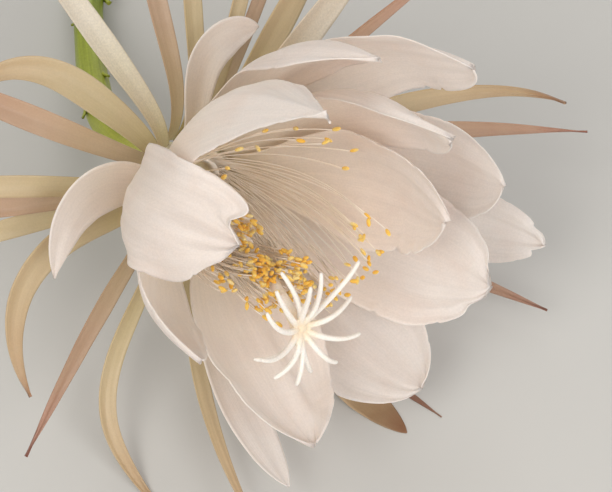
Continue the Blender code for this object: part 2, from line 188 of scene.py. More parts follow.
def make_piece(bm, name, material, slot, *nodes):
    """A finished piece at the origin that rides with the flower and stands for its solids."""
    mesh = bpy.data.meshes.new(name)
    bm.to_mesh(mesh)
    bm.free()
    mesh.shade_smooth()
    mesh.materials.append(material)
    piece = bpy.data.objects.new(name, mesh)
    bpy.context.collection.objects.link(piece)
    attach(piece, "root")
    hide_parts(*nodes)
    return piece


def ball_of_rings(rings, sides):
    """A closed ball whose rings are ready to be moved along a profile, each ring's number as its height."""
    bm = bmesh.new()
    bmesh.ops.create_uvsphere(bm, u_segments=sides, v_segments=rings, radius=1)
    for v in bm.verts:
        v.co.z = round((1 - np.arccos(max(-1, min(1, v.co.z))) / pi) * rings)
    return bm


def join(bm, part):
    """Moves all of a part into a larger mesh."""
    mesh = bpy.data.meshes.new("part")
    part.to_mesh(mesh)
    part.free()
    bm.from_mesh(mesh)
    bpy.data.meshes.remove(mesh)


def waxy_green_skin():
    """Living cactus skin: waxy, yellow-green, paler near the bloom, with long fibres and darker specks."""
    # The fibres are about 1 mm wide and 34 mm long. The pores are too fine to show, so they are drawn as
    # specks of about 1 mm
    material, tree, shader = new_material("waxy_green_skin", 0.38, Subsurface_Weight=0.12,
                                          Subsurface_Scale=4 * MM)
    place_on = add(tree, "TexCoord").outputs["Object"]
    uv = add(tree, "UVMap", {"uv_map": "along_tube"}).outputs[0]
    along = add(tree, "SeparateXYZ", _0=uv).outputs[1]
    body = ramp(tree, along, ((0.0, "#F8EED8"), (0.09, "#F0E4C0"), (0.15, "#C6C462"), (0.26, "#AFB63E"),
                              (0.8, "#8A9A34"), (0.97, "#6A7A2C"), (1.0, "#A8A070")))
    stretched = add(tree, "Mapping", _0=uv, Scale=(34, 5, 1)).outputs[0]
    fibres = add(tree, "TexNoise", _0=stretched, Scale=1.0, Detail=4.0).outputs[0]
    specks = add(tree, "TexNoise", _0=place_on, Scale=900.0, Detail=2.0).outputs[0]
    shade = add(tree, "MapRange", _0=fibres, _1=0.3, _2=0.7, _3=0.80, _4=1.14).outputs[0]
    fine = add(tree, "MapRange", _0=specks, _1=0.35, _2=0.7, _3=0.92, _4=1.05).outputs[0]
    both = add(tree, "Math", {"operation": "MULTIPLY"}, _0=shade, _1=fine).outputs[0]
    colour = add(tree, "VectorMath", {"operation": "SCALE"}, _0=body, Scale=both).outputs[0]
    tree.links.new(colour, shader.inputs["Base Color"])
    height = add(tree, "Math", {"operation": "ADD"}, _0=fibres, _1=specks).outputs[0]
    bump = add(tree, "Bump", Strength=0.35, Distance=0.0003, Height=height).outputs[0]
    tree.links.new(bump, shader.inputs["Normal"])
    return material


def scale_blade(tube, distance, turn, length, width):
    """A narrow pointed scale whose root is sunk in the tube and whose tip stands off it."""
    bm = bmesh.new()
    uv = bm.loops.layers.uv.new("along_tube")
    bmesh.ops.create_grid(bm, x_segments=SCALE_GRID[0], y_segments=SCALE_GRID[1], size=1)
    for v in bm.verts:
        t = (v.co.x + 1) / 2
        at = (distance + (0.5 - t) * length) * MM
        centre, up, side = route_frame(at)
        a = radians(turn)
        out, around = up * cos(a) + side * sin(a), side * cos(a) - up * sin(a)
        half = width / 2 * MM * (1 - t ** 2.2) ** 0.8 + SCALE_TIP
        rise = (SCALE_RISE * t * t - SCALE_SUNK - SCALE_ROUND * v.co.y ** 2) * MM
        v.co = centre + out * (soft_profile(at) + rise) + around * v.co.y * half
    bmesh.ops.recalc_face_normals(bm, faces=bm.faces[:])
    bmesh.ops.solidify(bm, geom=bm.faces[:], thickness=SCALE_THICKNESS)
    for face in bm.faces:
        for loop in face.loops:
            loop[uv].uv = (0.5, 0.5)
    join(tube, bm)


def floral_tube():
    """The tube as rings moved along its route, from the cut end over the rim and down into the throat."""
    outside = [(d, soft_profile(d * MM) / MM) for d in np.arange(FIRST_RING, 0, -TUBE_RING_STEP)]
    inside = [(d, profile(THROAT_RADII, d * MM) / MM) for d in THROAT_RINGS]
    stations = [*CUT_END, *outside, *RIM, *inside, THROAT_FLOOR]
    bm = ball_of_rings(len(stations) - 1, TUBE_SIDES)
    uv = bm.loops.layers.uv.new("along_tube")
    share = bm.verts.layers.float_vector.new("share")
    for v in bm.verts:
        distance, radius = stations[int(v.co.z)]
        centre, up, side = route_frame(distance * MM)
        turn = np.arctan2(v.co.y, v.co.x)
        rib = RIB_HEIGHT * cos(RIBS * turn + distance / RIB_TWIST) * min(1, distance / RIB_FADES[0])
        rib = rib * min(1, (TUBE_END - distance) / RIB_FADES[1])
        spot = centre + (up * cos(turn) + side * sin(turn)) * radius * MM
        on_wall = radius > 1
        rough = on_wall and distance > SMOOTH_NEAR_BLOOM
        wave = noise.noise(spot * SKIN_WAVES) * SKIN_WAVE_HEIGHT if rough else 0
        v[share] = (turn / (2 * pi) + 0.5, distance / TUBE_END, 0)
        v.co = spot + (spot - centre).normalized() * (rib + wave - RIB_HEIGHT if on_wall else 0)
        v.co.z = max(v.co.z, 0)
    for face in bm.faces:
        turns = [loop.vert[share].x for loop in face.loops]
        for loop in face.loops:
            u = loop.vert[share].x
            loop[uv].uv = (u + 1 if max(turns) - u > 0.5 else u, loop.vert[share].y)
    bmesh.ops.recalc_face_normals(bm, faces=bm.faces[:])
    for row in SCALES:
        scale_blade(bm, *row)
    make_piece(bm, "green_tube", waxy_green_skin(), "floral_tube", "floral_tube")


floral_tube()

# The inner tepals are broad thin petals, white to cream, in two rings that make the cup. The cream at their
# seats is partly their own and partly painted light, made paler and warmer for the light that glows through
# them and bounces in the cup. Each grows from a narrow seat on the tube, is hollowed like a spoon, and has
# fine lengthwise veins and a softly waved edge.
TEPAL_THICKNESS = 0.7 * MM
BLADE_THICKNESS = 0.36 * MM
SEAT_GAP = 0.35 * MM
TIP_HALF_WIDTH = 0.25 * MM
SEAT_SHARE = 0.25
TABLE_EASE = 2 * MM
TABLE_PRESS = 0.25 * MM
# Outlines: share of the width at the seat, widest place, and bluntness of the tip
BROAD = (0.25, 0.60, 0.95)
SPOON = (0.28, 0.58, 0.70)
HEART = (0.30, 0.66, 1.00)
HOOD = (0.35, 0.34, 0.40)
STRAP = (0.50, 0.45, 0.25)
PADDLE = (0.40, 0.62, 0.70)
STRAP_CUP = (25, 28, 12)
# Lengths are in millimetres and angles in degrees. A pitch, roll, heading or cup changes smoothly through its
# values from seat to tip. A ruffle is height, waves and phase. A valley is its place across at seat and tip,
# its width and its depth. A notch is its place across, its width and its depth, below zero for a lobe.
INNER_TEPALS = (
    dict(turn=1, seat=5.5, length=121, width=56, pitch=(39, 45, 30, 11, 4), roll=(0, -2, -14),
         cup=(20, 54, 50), outline=HOOD),
    dict(turn=315, seat=8.5, length=101, width=39, pitch=(45, 53, 30, -17, -44), cup=(20, 30, 14),
         outline=HEART, ruffle=(1.4, 3.5, 1.0), valley=(8, 5, 6, 3.0),
         notches=((5.5, 3, 5.5), (-10, 5, 4), (13, 6, -5), (-3, 1.6, 1.5))),
    dict(turn=271, seat=4.5, length=88, width=43, pitch=(42, 48, 32, 12, 2), roll=(0, 8, 24),
         cup=(20, 36, 16), outline=(0.30, 0.50, 0.50)),
    dict(turn=207, seat=1, length=88, width=50, pitch=(44, 50, 42, 28, 20), cup=(20, 45, 30),
         outline=(0.24, 0.50, 0.65), valley=(-4, -6, 3, 1.6)),
    dict(turn=169, seat=7, length=98, width=46, pitch=(48, 56, 46, 32, 24), cup=(20, 38, 20), outline=BROAD),
    dict(turn=137, seat=4, length=98, width=48, pitch=(40, 47, 38, 27, 20), cup=(20, 38, 20), outline=BROAD,
         notches=((9, 2.5, 2), (-6, 3, 1.5))),
    dict(turn=104.6, seat=0, length=90, width=47, pitch=(32, 36, 21, -4, -14), cup=(20, 42, 30),
         outline=SPOON),
    dict(turn=62, seat=1.7, length=104, width=43, pitch=(37, 42, 26, -1, -12), cup=(20, 45, 45),
         outline=SPOON),
    dict(turn=107, seat=8, length=108, width=40, pitch=(54, 60, 34, 9, -2), cup=(15, 30, 20), outline=BROAD),
    dict(turn=128, seat=10.5, length=120, width=26, pitch=(54, 66, 50, 34, 28), cup=(10, 15, 10),
         outline=(0.30, 0.72, 0.80), notches=((3, 1.4, 3), (-5, 1.2, 2), (-1, 1, 1))),
    dict(turn=38, seat=8, length=100, width=38, pitch=(46, 53, 40, 14, -4), cup=(15, 45, 40), outline=SPOON),
    dict(turn=67, seat=9.5, length=112, width=40, pitch=(52, 58, 38, 14, 2), cup=(15, 30, 18), outline=BROAD),
)
INNER_GRID = (64, 40)
# Heights in millimetres of the waved edge, the folds and the swell, counts of the first two, and the shares
# of the width that the uneven outline nicks and tears
INNER_LOOK = dict(wave=1.5, waves=5, fold=0.7, folds=4, swell=1.6, nick=0.04, tear=0.10)


def outline_share(outline, t):
    """Share of the full width along a tepal."""
    claw, widest, blunt = outline
    rise = claw + (1 - claw) * np.sin(np.clip(t / widest, 0, 1) * pi / 2) ** 1.6
    x = np.clip((t - widest) / (1 - widest), 0, 1)
    fall = (1 - x ** (1.2 + 1.6 * blunt)) ** (1.15 - 0.62 * blunt)
    return np.where(t < widest, rise, fall)


def tepal_frames(row, t, steps=96):
    """Midline points of a tepal, its inward and across directions at each t, and its seat's radius."""
    a = radians(row["turn"])
    out = np.array(TOP * cos(a) + SIDE * sin(a))
    around = np.array(SIDE * cos(a) - TOP * sin(a))
    axis = np.array(AXIS)

    def directions(t):
        pitch = np.radians(keyed(row["pitch"], t))[:, None]
        heading = np.radians(keyed(row.get("heading", (0,)), t))[:, None]
        aside = np.cos(heading) * out + np.sin(heading) * around
        return np.cos(pitch) * axis + np.sin(pitch) * aside, np.sin(pitch) * axis - np.cos(pitch) * aside

    seat = row["seat"] * MM
    seat_radius = profile(TUBE_RADII, seat) + SEAT_GAP + TEPAL_THICKNESS
    start = np.array(THROAT) - axis * seat + out * seat_radius
    fine = (np.arange(steps) + 0.5) / steps
    path = np.vstack([start, start + np.cumsum(directions(fine)[0], 0) * row["length"] * MM / steps])
    along, inward = directions(t)
    across = np.cross(along, inward)
    roll = np.radians(keyed(row.get("roll", (0,)), t))[:, None]
    rolled_inward = np.cos(roll) * inward + np.sin(roll) * across
    rolled_across = np.cos(roll) * across - np.sin(roll) * inward
    place_on = np.linspace(0, 1, steps + 1)
    points = np.stack([np.interp(t, place_on, path[:, k]) for k in range(3)], -1)
    points = points + along * (np.maximum(t - 1, 0) * row["length"] * MM)[:, None]
    return points, rolled_inward, rolled_across, seat_radius


def wander(a, b, c, seed):
    """Smooth uneven values between about -1 and 1 at each pair of places."""
    return np.array([noise.noise(Vector((x, y, c + seed * 3.7))) for x, y in zip(a, b)]) * 1.6


def fine_relief(look, t, s, seed):
    """Height of a blade's waved edge, long soft folds and slow swell, and its uneven outline."""
    grown = np.clip((t - 0.10) / 0.5, 0, 1) ** 1.3
    side = np.where(s < 0, 5.0, 0.0)
    edge = np.abs(s) ** 2.6 * wander(look["waves"] * t, side, 0.5, seed)
    fold = wander(look["folds"] * s, 1.6 * t, 9.5, seed)
    swell = wander(1.3 * s, 2.4 * t, 20.5, seed)
    midrib = -0.5 * np.exp(-(s / 0.07) ** 2) * (1 - t)
    height = (look["wave"] * edge + look["fold"] * fold + look["swell"] * swell) * grown
    height = height + look["fold"] * midrib
    worn = np.clip((t - 0.40) / 0.35, 0, 1)
    bites = wander(7 * t, side, 30.5, seed)
    torn = np.minimum(wander(30 * t, side, 40.5, seed) + 0.35, 0)
    return height * MM, 1 + worn * (look["nick"] * bites + look["tear"] * torn)


def tepal_surface(row, look, t, s, seed):
    """Points of a tepal's outer face at t from seat to tip and s from -1 to 1 across."""
    height, uneven = fine_relief(look, t, s, seed)
    half = row["width"] * MM / 2 * outline_share(row.get("outline", STRAP), t)
    half = np.maximum(half * uneven, TIP_HALF_WIDTH)
    aside = half * s / MM
    late = np.clip((t - 0.4) / 0.5, 0, 1) ** 2
    held = 0 * t
    for middle, width, depth in row.get("notches", ()):
        held = held + late * depth / row["length"] * np.exp(-((aside - middle) / width) ** 2)
    seat_side, tip_side, width, depth = row.get("valley", (0, 0, 1, 0))
    valley = np.exp(-((aside - seat_side - (tip_side - seat_side) * t) / width) ** 2)
    height = height + depth * MM * valley * np.clip((t - 0.15) / 0.4, 0, 1)
    points, inward, across, seat_radius = tepal_frames(row, t - held)
    cup = np.radians(keyed(row.get("cup", STRAP_CUP), t))
    settle = np.clip(t / SEAT_SHARE, 0, 1)
    cup = half / seat_radius * (1 - settle) + cup * settle
    bend = half / cup
    wave, waves, phase = row.get("ruffle", (0, 1, 0))
    lift = wave * MM * np.clip(t / 0.5, 0, 1) ** 2 * np.abs(s) ** 2.5
    lift = lift * np.sin(2 * pi * waves * t + phase + 2.1 * (s < 0))
    sideways, inwards = bend * np.sin(cup * s), bend * (1 - np.cos(cup * s)) + lift + height
    return points + across * sideways[:, None] + inward * inwards[:, None]


def above_table(z):
    """Height of an outer face that eases onto the table instead of passing through it."""
    eased = z if z > TABLE_EASE else TABLE_EASE * np.exp(z / TABLE_EASE - 1)
    return eased if eased > TABLE_PRESS else 0


def tepal(name, row, look, grid, material, slot, node, seed):
    """A thin blade on its seat, with its places along and across kept as the map for its veins."""
    bm = bmesh.new()
    uv = bm.loops.layers.uv.new("petal")
    share = bm.verts.layers.float_vector.new("share")
    bmesh.ops.create_grid(bm, x_segments=grid[0], y_segments=grid[1], size=1)
    flat = np.array([v.co for v in bm.verts])
    u = (flat[:, 0] + 1) / 2
    t = 0.5 * u + 0.5 * np.sin(u * pi / 2)
    for v, co, a, b in zip(bm.verts, tepal_surface(row, look, t, flat[:, 1], seed), t, flat[:, 1]):
        v.co = co
        v.co.z = above_table(co[2])
        v[share] = (b * 0.5 + 0.5, a, 0)
    bm.normal_update()
    bmesh.ops.solidify(bm, geom=bm.faces[:], thickness=BLADE_THICKNESS)
    for v in bm.verts:
        v.co.z = max(v.co.z, 0)
    for face in bm.faces:
        for loop in face.loops:
            loop[uv].uv = loop.vert[share].xy
    bmesh.ops.recalc_face_normals(bm, faces=bm.faces[:])
    make_piece(bm, name, material, slot, node)


def petal_tissue(name, stops, edge, veins, roughness, specks=0.03, speck_sheen=0.0, blush="#EED6CA"):
    """Thin moist petal tissue: light sinks in and glows back, veins run along it, cells give a soft grain."""
    # The blush lies in patches of about 20 mm. The veins are about 2 mm apart, both on a cup petal 45 mm wide
    # and on a strap 9 mm wide. The cells are too fine to show, so they are drawn at about 0.6 mm
    material, tree, shader = new_material(name, roughness, Subsurface_Weight=0.55, Subsurface_Scale=6 * MM,
                                          Sheen_Weight=0.08, Sheen_Roughness=0.4, Specular_IOR_Level=0.35)
    place_on = add(tree, "TexCoord").outputs["Object"]
    uv = add(tree, "UVMap", {"uv_map": "petal"}).outputs[0]
    split = add(tree, "SeparateXYZ", _0=uv)
    body = ramp(tree, split.outputs[1], stops)
    patches = add(tree, "TexNoise", _0=place_on, Scale=48.0, Detail=3.0).outputs[0]
    warm = add(tree, "MapRange", _0=patches, _1=0.48, _2=0.72, _3=0.0, _4=0.55).outputs[0]
    body = add(tree, "Mix", {"data_type": "RGBA"}, _0=warm, _6=body, _7=linear(blush)).outputs[2]
    middle = add(tree, "Math", {"operation": "SUBTRACT"}, _0=split.outputs[0], _1=0.5).outputs[0]
    aside = add(tree, "Math", {"operation": "ABSOLUTE"}, _0=middle).outputs[0]
    # The rim takes the edge colour: on the straps a browner margin of their own; on the white petals a paler
    # margin, painted light for the glow through the thin edge
    rim = add(tree, "MapRange", {"interpolation_type": "SMOOTHSTEP"}, _0=aside, _1=0.42, _2=0.5, _3=0.0,
              _4=0.25).outputs[0]
    body = add(tree, "Mix", {"data_type": "RGBA"}, _0=rim, _6=body, _7=linear(edge)).outputs[2]
    lanes = add(tree, "Mapping", _0=uv, Scale=(veins, 2.2, 1)).outputs[0]
    threads = add(tree, "Mapping", _0=uv, Scale=(veins * 3.1, 4.0, 1)).outputs[0]
    broad = add(tree, "TexNoise", _0=lanes, Scale=1.0, Detail=3.0, Roughness=0.55).outputs[0]
    thin = add(tree, "TexNoise", _0=threads, Scale=1.0, Detail=2.0).outputs[0]
    grain = add(tree, "TexNoise", _0=place_on, Scale=1600.0, Detail=2.0).outputs[0]
    tone = add(tree, "MapRange", _0=broad, _1=0.3, _2=0.7, _3=0.965, _4=1.025).outputs[0]
    line = add(tree, "MapRange", _0=thin, _1=0.35, _2=0.65, _3=0.985, _4=1.012).outputs[0]
    # Grain tone of the cells, with extra brightness on the light specks as a painted sheen for the grainy
    # straps
    grain_tone_and_sheen = add(tree, "MapRange", _0=grain, _1=0.35, _2=0.7, _3=1 - specks, _4=1 + specks + speck_sheen).outputs[0]
    tone = add(tree, "Math", {"operation": "MULTIPLY"}, _0=tone, _1=line).outputs[0]
    tone = add(tree, "Math", {"operation": "MULTIPLY"}, _0=tone, _1=grain_tone_and_sheen).outputs[0]
    colour = add(tree, "VectorMath", {"operation": "SCALE"}, _0=body, Scale=tone).outputs[0]
    tree.links.new(colour, shader.inputs["Base Color"])
    ribs = add(tree, "Math", {"operation": "MULTIPLY_ADD"}, _0=thin, _1=0.6, _2=broad).outputs[0]
    height = add(tree, "Math", {"operation": "MULTIPLY_ADD"}, _0=grain, _1=0.25, _2=ribs).outputs[0]
    bump = add(tree, "Bump", Strength=0.22, Distance=0.0004, Height=height).outputs[0]
    tree.links.new(bump, shader.inputs["Normal"])
    return material


# Painted light: the seat colours are paler and warmer than the petals' own cream, for the light that glows
# through the petals and bounces in the cup
WHITE_STOPS = ((0.0, "#EEDDB8"), (0.12, "#F6E4CA"), (0.38, "#F6E5D4"), (0.75, "#F5E8E0"))
INNER_VEINS = 24
white_petal = petal_tissue("white_petal_tissue", WHITE_STOPS, "#FAF0EA", INNER_VEINS, 0.42)
for n, row in enumerate(INNER_TEPALS, 1):
    tepal(f"cup_petal_{n:02}", row, INNER_LOOK, INNER_GRID, white_petal, "inner_tepal",
          f"inner_tepal_{n:02}", n)

# The outer tepals are narrow straps that spread back round the cup. They are firm and a little fleshy, olive
# to cream at the seat and pinkish brown towards the drying tip, and their cream, rose and brown colours are
# darkened as painted shade for the weaker light that reaches them. The last two are short, white and folded.
CREAM, ROSE, BROWN, FROSTED, WHITE = "cream", "rose", "brown", "frosted", "white"
OUTER_TEPALS = (
    dict(turn=324, seat=19, length=116, width=9, pitch=(55, 100, 108, 108, 106), kind=ROSE),
    dict(turn=342, seat=16, length=88, width=11, pitch=(55, 108, 120, 110, 90),
         heading=(0, 0, -10, -60, -130), kind=CREAM),
    dict(turn=356, seat=13, length=116, width=9, pitch=(55, 104, 108, 108, 108), kind=FROSTED),
    dict(turn=21, seat=17, length=112, width=8, pitch=(55, 104, 108, 110, 108), kind=ROSE),
    dict(turn=32, seat=15, length=114, width=8, pitch=(55, 102, 106, 106, 106), kind=CREAM),
    dict(turn=47, seat=17, length=112, width=7, pitch=(50, 92, 96, 96, 96), kind=CREAM),
    dict(turn=55, seat=19, length=108, width=6, pitch=(50, 90, 94, 94, 94), kind=ROSE),
    dict(turn=60, seat=15.5, length=112, width=12, pitch=(50, 84, 88, 88, 88), kind=CREAM),
    dict(turn=65, seat=13, length=114, width=13, pitch=(50, 76, 79, 80, 80), kind=FROSTED),
    dict(turn=73, seat=11, length=112, width=6, pitch=(50, 68, 69, 68, 66), kind=ROSE),
    dict(turn=98, seat=13, length=130, width=9, pitch=(50, 64, 60, 36, 0), kind=CREAM),
    dict(turn=107, seat=16, length=134, width=9, pitch=(50, 62, 56, 42, 34), kind=BROWN),
    dict(turn=122, seat=13.5, length=98, width=9, pitch=(50, 68, 56, 42, 34), kind=CREAM),
    dict(turn=141, seat=15, length=134, width=9, pitch=(56, 70, 56, 42, 36), kind=BROWN),
    dict(turn=154, seat=12, length=92, width=10, pitch=(50, 70, 62, 52, 44), kind=CREAM),
    dict(turn=169, seat=15, length=120, width=8, pitch=(50, 63, 57, 45, 40), kind=BROWN),
    dict(turn=176, seat=11, length=112, width=15, pitch=(48, 63, 59, 50, 47), outline=PADDLE, kind=CREAM),
    dict(turn=192, seat=14, length=98, width=10, pitch=(52, 74, 66, 54, 46), kind=CREAM),
    dict(turn=208, seat=10, length=103, width=18, pitch=(48, 66, 54, 36, 26), outline=PADDLE, kind=WHITE),
    dict(turn=214, seat=13, length=124, width=7, pitch=(50, 70, 56, 38, 32), kind=CREAM),
    dict(turn=247, seat=17, length=98, width=8, pitch=(55, 86, 82, 80, 80), kind=BROWN),
    dict(turn=236, seat=14, length=122, width=8, pitch=(52, 89, 84.5, 55.5, 41),
         heading=(0, 0, -10, -45, -55), kind=CREAM),
    dict(turn=286, seat=11.5, length=98, width=12, pitch=(50, 96, 92, 66, 40),
         heading=(0, 0, -28, -60, -80), kind=CREAM),
    dict(turn=287, seat=20, length=112, width=8, pitch=(60, 104, 104, 104, 104), kind=CREAM),
    dict(turn=296, seat=17, length=112, width=8, pitch=(60, 104, 104, 104, 104), kind=ROSE),
    dict(turn=303, seat=14, length=112, width=8, pitch=(60, 104, 104, 104, 104), kind=CREAM),
    dict(turn=308, seat=10, length=65, width=18, pitch=(45, 84, 84, 80), heading=(0, 0, -60, -90),
         outline=(0.4, 0.5, 0.3), kind=WHITE),
    dict(turn=29, seat=10.5, length=54, width=15, pitch=(50, 86, 84, 84, 80), heading=(0, 0, 10, 60, 90),
         outline=PADDLE, kind=WHITE),
)
STRAP_GRID = (72, 12)
STRAP_LOOK = dict(wave=0.3, waves=6, fold=0.15, folds=2, swell=0.5, nick=0.02, tear=0.02)
STRAP_VEINS = 5
# Painted shade: these three ramps are darkened by about a fifth to a quarter for the weaker light on the
# straps; their olive seats and brown tips are their own colour
CREAM_AND_SHADE_STOPS = ((0.0, "#A89C54"), (0.14, "#BCA874"), (0.5, "#C4AA82"), (0.85, "#B4906C"), (1.0, "#8A5A40"))
ROSE_AND_SHADE_STOPS = ((0.0, "#A09254"), (0.12, "#B49A70"), (0.4, "#B08C72"), (0.8, "#9C6E5C"), (1.0, "#784638"))
BROWN_AND_SHADE_STOPS = ((0.0, "#A4985C"), (0.14, "#B89E76"), (0.5, "#A8866C"), (0.85, "#9A6A58"), (1.0, "#7C463A"))
FROSTED_STOPS = ((0.0, "#B2A866"), (0.12, "#D2C49A"), (0.5, "#E0D2BC"), (1.0, "#D0B4A0"))
FIRST_STRAP_SEED = 20
strap_tissue = {
    CREAM: petal_tissue("cream_strap_tissue", CREAM_AND_SHADE_STOPS, "#A08260", STRAP_VEINS, 0.40, blush="#C2A682"),
    ROSE: petal_tissue("rose_strap_tissue", ROSE_AND_SHADE_STOPS, "#906650", STRAP_VEINS, 0.42, blush="#C0A088"),
    BROWN: petal_tissue("brown_strap_tissue", BROWN_AND_SHADE_STOPS, "#86604A", STRAP_VEINS, 0.45, blush="#A8886E"),
    # The frosted straps' light grain specks carry a little painted sheen
    FROSTED: petal_tissue("frosted_strap_tissue", FROSTED_STOPS, "#9E7C60", STRAP_VEINS, 0.5, specks=0.06,
                          speck_sheen=0.03, blush="#D4BEAA"),
    WHITE: white_petal,
}
for n, row in enumerate(OUTER_TEPALS, 1):
    tepal(f"strap_petal_{n:02}", row, STRAP_LOOK, STRAP_GRID, strap_tissue[row["kind"]], "outer_tepal",
          f"outer_tepal_{n:02}", FIRST_STRAP_SEED + n)

# The stamens are fine cream threads that grow from a ring in the throat, lie along the cup and rise at their
# ends. Each carries a small two-lobed anther, yellow to orange with loose pollen on it.
FIRST_ROOT_TURN = -40
ROOT_ROWS = 0.6 * MM
# Each group's count, its first and last turn, how far it reaches out and forward, and its sag
STAMEN_GROUPS = (
    (7, -30, 95, 33, 43, 1),
    (12, 112, 156, 26, 57, 6),
    (10, 162, 194, 22, 60, 7),
    (18, 196, 222, 17, 54, 8),
    (18, 252, 276, 16, 48, 8),
    (4, 254, 270, 27, 42, 6),
    (18, 278, 322, 12, 38, 5),
)
TURN_JITTER, REACH_JITTER, FORWARD_JITTER = 0.6, 4, 6
SAG_JITTER = (-1, 2)
ANTHER_LENGTH = 3.0 * MM
ANTHER_HALF_WIDTH = 0.62 * MM
ANTHER_SIDES, ANTHER_RINGS = 8, 6
ANTHER_BREADTH = 1.25
ANTHER_OVERHANG = 0.8
ANTHER_AHEAD = 1.5
ANTHER_SPIN = 2.4
GROOVE_DEPTH, GROOVE_HALF_WIDTH = 0.30, 0.3
COLLAR_FROM, COLLAR_TO = 1.2, 4.6
COLLAR_MIDDLE = (COLLAR_FROM + COLLAR_TO) / 2 * MM
COLLAR_WIDTH = 1.8 * MM
COLLAR_GAP = 0.4 * MM
COLLAR_SIDES = 48
THREAD_ROOT_DEPTH = 0.6 * COLLAR_WIDTH
THREAD_RADIUS = 0.20 * MM
THREAD_POINTS = 11
THREAD_SIDES = 5
STAMEN_SEED, EXTRA_SEED = 10, 23
# More stamens of each group, and some in front of the style, that the solid leaves out
EXTRA_GROUPS = (
    (5, -30, 95, 34, 44, 1),
    (7, 108, 158, 26, 57, 6),
    (7, 160, 196, 20, 60, 7),
    (20, 196, 226, 14, 56, 6),
    (34, 220, 258, 9, 55, 3),
    (16, 246, 282, 16, 36, 3),
    (30, 228, 262, 15, 50, 4),
    (28, 234, 256, 23, 56, 3),
    (34, 250, 280, 15, 50, 6),
    (10, 254, 285, 24, 44, 6),
    (30, 276, 322, 12, 40, 4),
)


def place(forward, out, turn):
    """A point by its distance along the axis, its distance from it and its turn."""
    a = radians(turn)
    return THROAT + AXIS * forward + (TOP * cos(a) + SIDE * sin(a)) * out


def thread(bm, path, radii, sides):
    """A closed thin rod on a path of points, as rings of a ball moved along it."""
    part = ball_of_rings(len(path) + 1, sides)
    last = len(path) - 1
    for v in part.verts:
        k = int(v.co.z) - 1
        i = min(max(k, 0), last)
        ahead = (path[min(i + 1, last)] - path[max(i - 1, 0)]).normalized()
        up = ahead.cross(AXIS.cross(ahead) if abs(ahead.dot(AXIS)) < 0.95 else TOP).normalized()
        side = ahead.cross(up)
        radius = radii[i] if 0 <= k <= last else 0
        turn = np.arctan2(v.co.y, v.co.x)
        v.co = path[i] + (up * cos(turn) + side * sin(turn)) * radius
    bmesh.ops.recalc_face_normals(part, faces=part.faces[:])
    join(bm, part)


def stamen_path(root_turn, root_out, turn, out, forward, sag, steps):
    """A filament from the collar, sagging outward, then rising to its anther."""
    points = []
    for t in np.linspace(0, 1, steps):
        reach = root_out + (out - root_out) * t + sag * sin(pi * t) * (0.4 + 0.6 * t)
        along = (forward + COLLAR_MIDDLE) * t - COLLAR_MIDDLE
        points.append(place(along, reach, root_turn + (turn - root_turn) * t ** 0.5))
    return points


def anther(bm, root, lean, spin):
    """A bean of two lobes with a groove between them, on its thread's end."""
    part = bmesh.new()
    bmesh.ops.create_uvsphere(part, u_segments=ANTHER_SIDES, v_segments=ANTHER_RINGS, radius=1)
    up = lean.orthogonal().normalized()
    up.rotate(Matrix.Rotation(spin, 3, lean))
    side = lean.cross(up)
    for v in part.verts:
        x, y, z = v.co
        width = ANTHER_HALF_WIDTH * (ANTHER_BREADTH - GROOVE_DEPTH * (abs(x) < GROOVE_HALF_WIDTH))
        ahead = lean * (z + ANTHER_OVERHANG) * ANTHER_LENGTH / 2
        v.co = root + ahead + up * y * ANTHER_HALF_WIDTH + side * x * width
    join(bm, part)


def all_stamens(threads, anthers, groups, random):
    """Adds each group's filaments to one mesh and their anthers to another."""
    root_out = profile(THROAT_RADII, COLLAR_MIDDLE) - COLLAR_GAP - THREAD_ROOT_DEPTH
    total = sum(group[0] for group in groups)
    made = 0
    for count, first, last, out, forward, sag in groups:
        for k in range(count):
            turn = first + (last - first) * (k + 0.5) / count + random.uniform(-TURN_JITTER, TURN_JITTER)
            root_turn = (turn + FIRST_ROOT_TURN + 360 * made / total) / 2
            reach = (out + random.uniform(-REACH_JITTER, REACH_JITTER)) * MM
            row = ROOT_ROWS / 2 if made % 2 else -ROOT_ROWS / 2
            height = (forward + random.uniform(-FORWARD_JITTER, FORWARD_JITTER)) * MM
            droop = (sag + random.uniform(*SAG_JITTER)) * MM
            path = stamen_path(root_turn, root_out + row, turn, reach, height, droop, THREAD_POINTS)
            ahead = (path[-1] - path[-2]).normalized()
            lean = (ahead * ANTHER_AHEAD + Vector([random.uniform(-1, 1) for _ in range(3)])).normalized()
            thread(threads, path, [THREAD_RADIUS] * THREAD_POINTS, THREAD_SIDES)
            anther(anthers, path[-1], lean, made * ANTHER_SPIN)
            made += 1


def thread_tissue():
    """Turgid plant threads: smooth, moist and nearly clear, in slowly changing creams."""
    # The creams change about every 14 mm. The skin's cells are too fine to show, so they are drawn at 0.45 mm
    material, tree, shader = new_material("cream_thread", 0.35, Subsurface_Weight=0.4,
                                          Subsurface_Scale=2 * MM)
    place_on = add(tree, "TexCoord").outputs["Object"]
    patches = add(tree, "TexNoise", _0=place_on, Scale=70.0, Detail=2.0).outputs[0]
    body = ramp(tree, patches, ((0.3, "#F8E6D0"), (0.5, "#FCEEDC"), (0.7, "#FEF6EC")))
    tree.links.new(body, shader.inputs["Base Color"])
    grain = add(tree, "TexNoise", _0=place_on, Scale=2200.0).outputs[0]
    bump = add(tree, "Bump", Strength=0.2, Distance=0.0001, Height=grain).outputs[0]
    tree.links.new(bump, shader.inputs["Normal"])
    return material


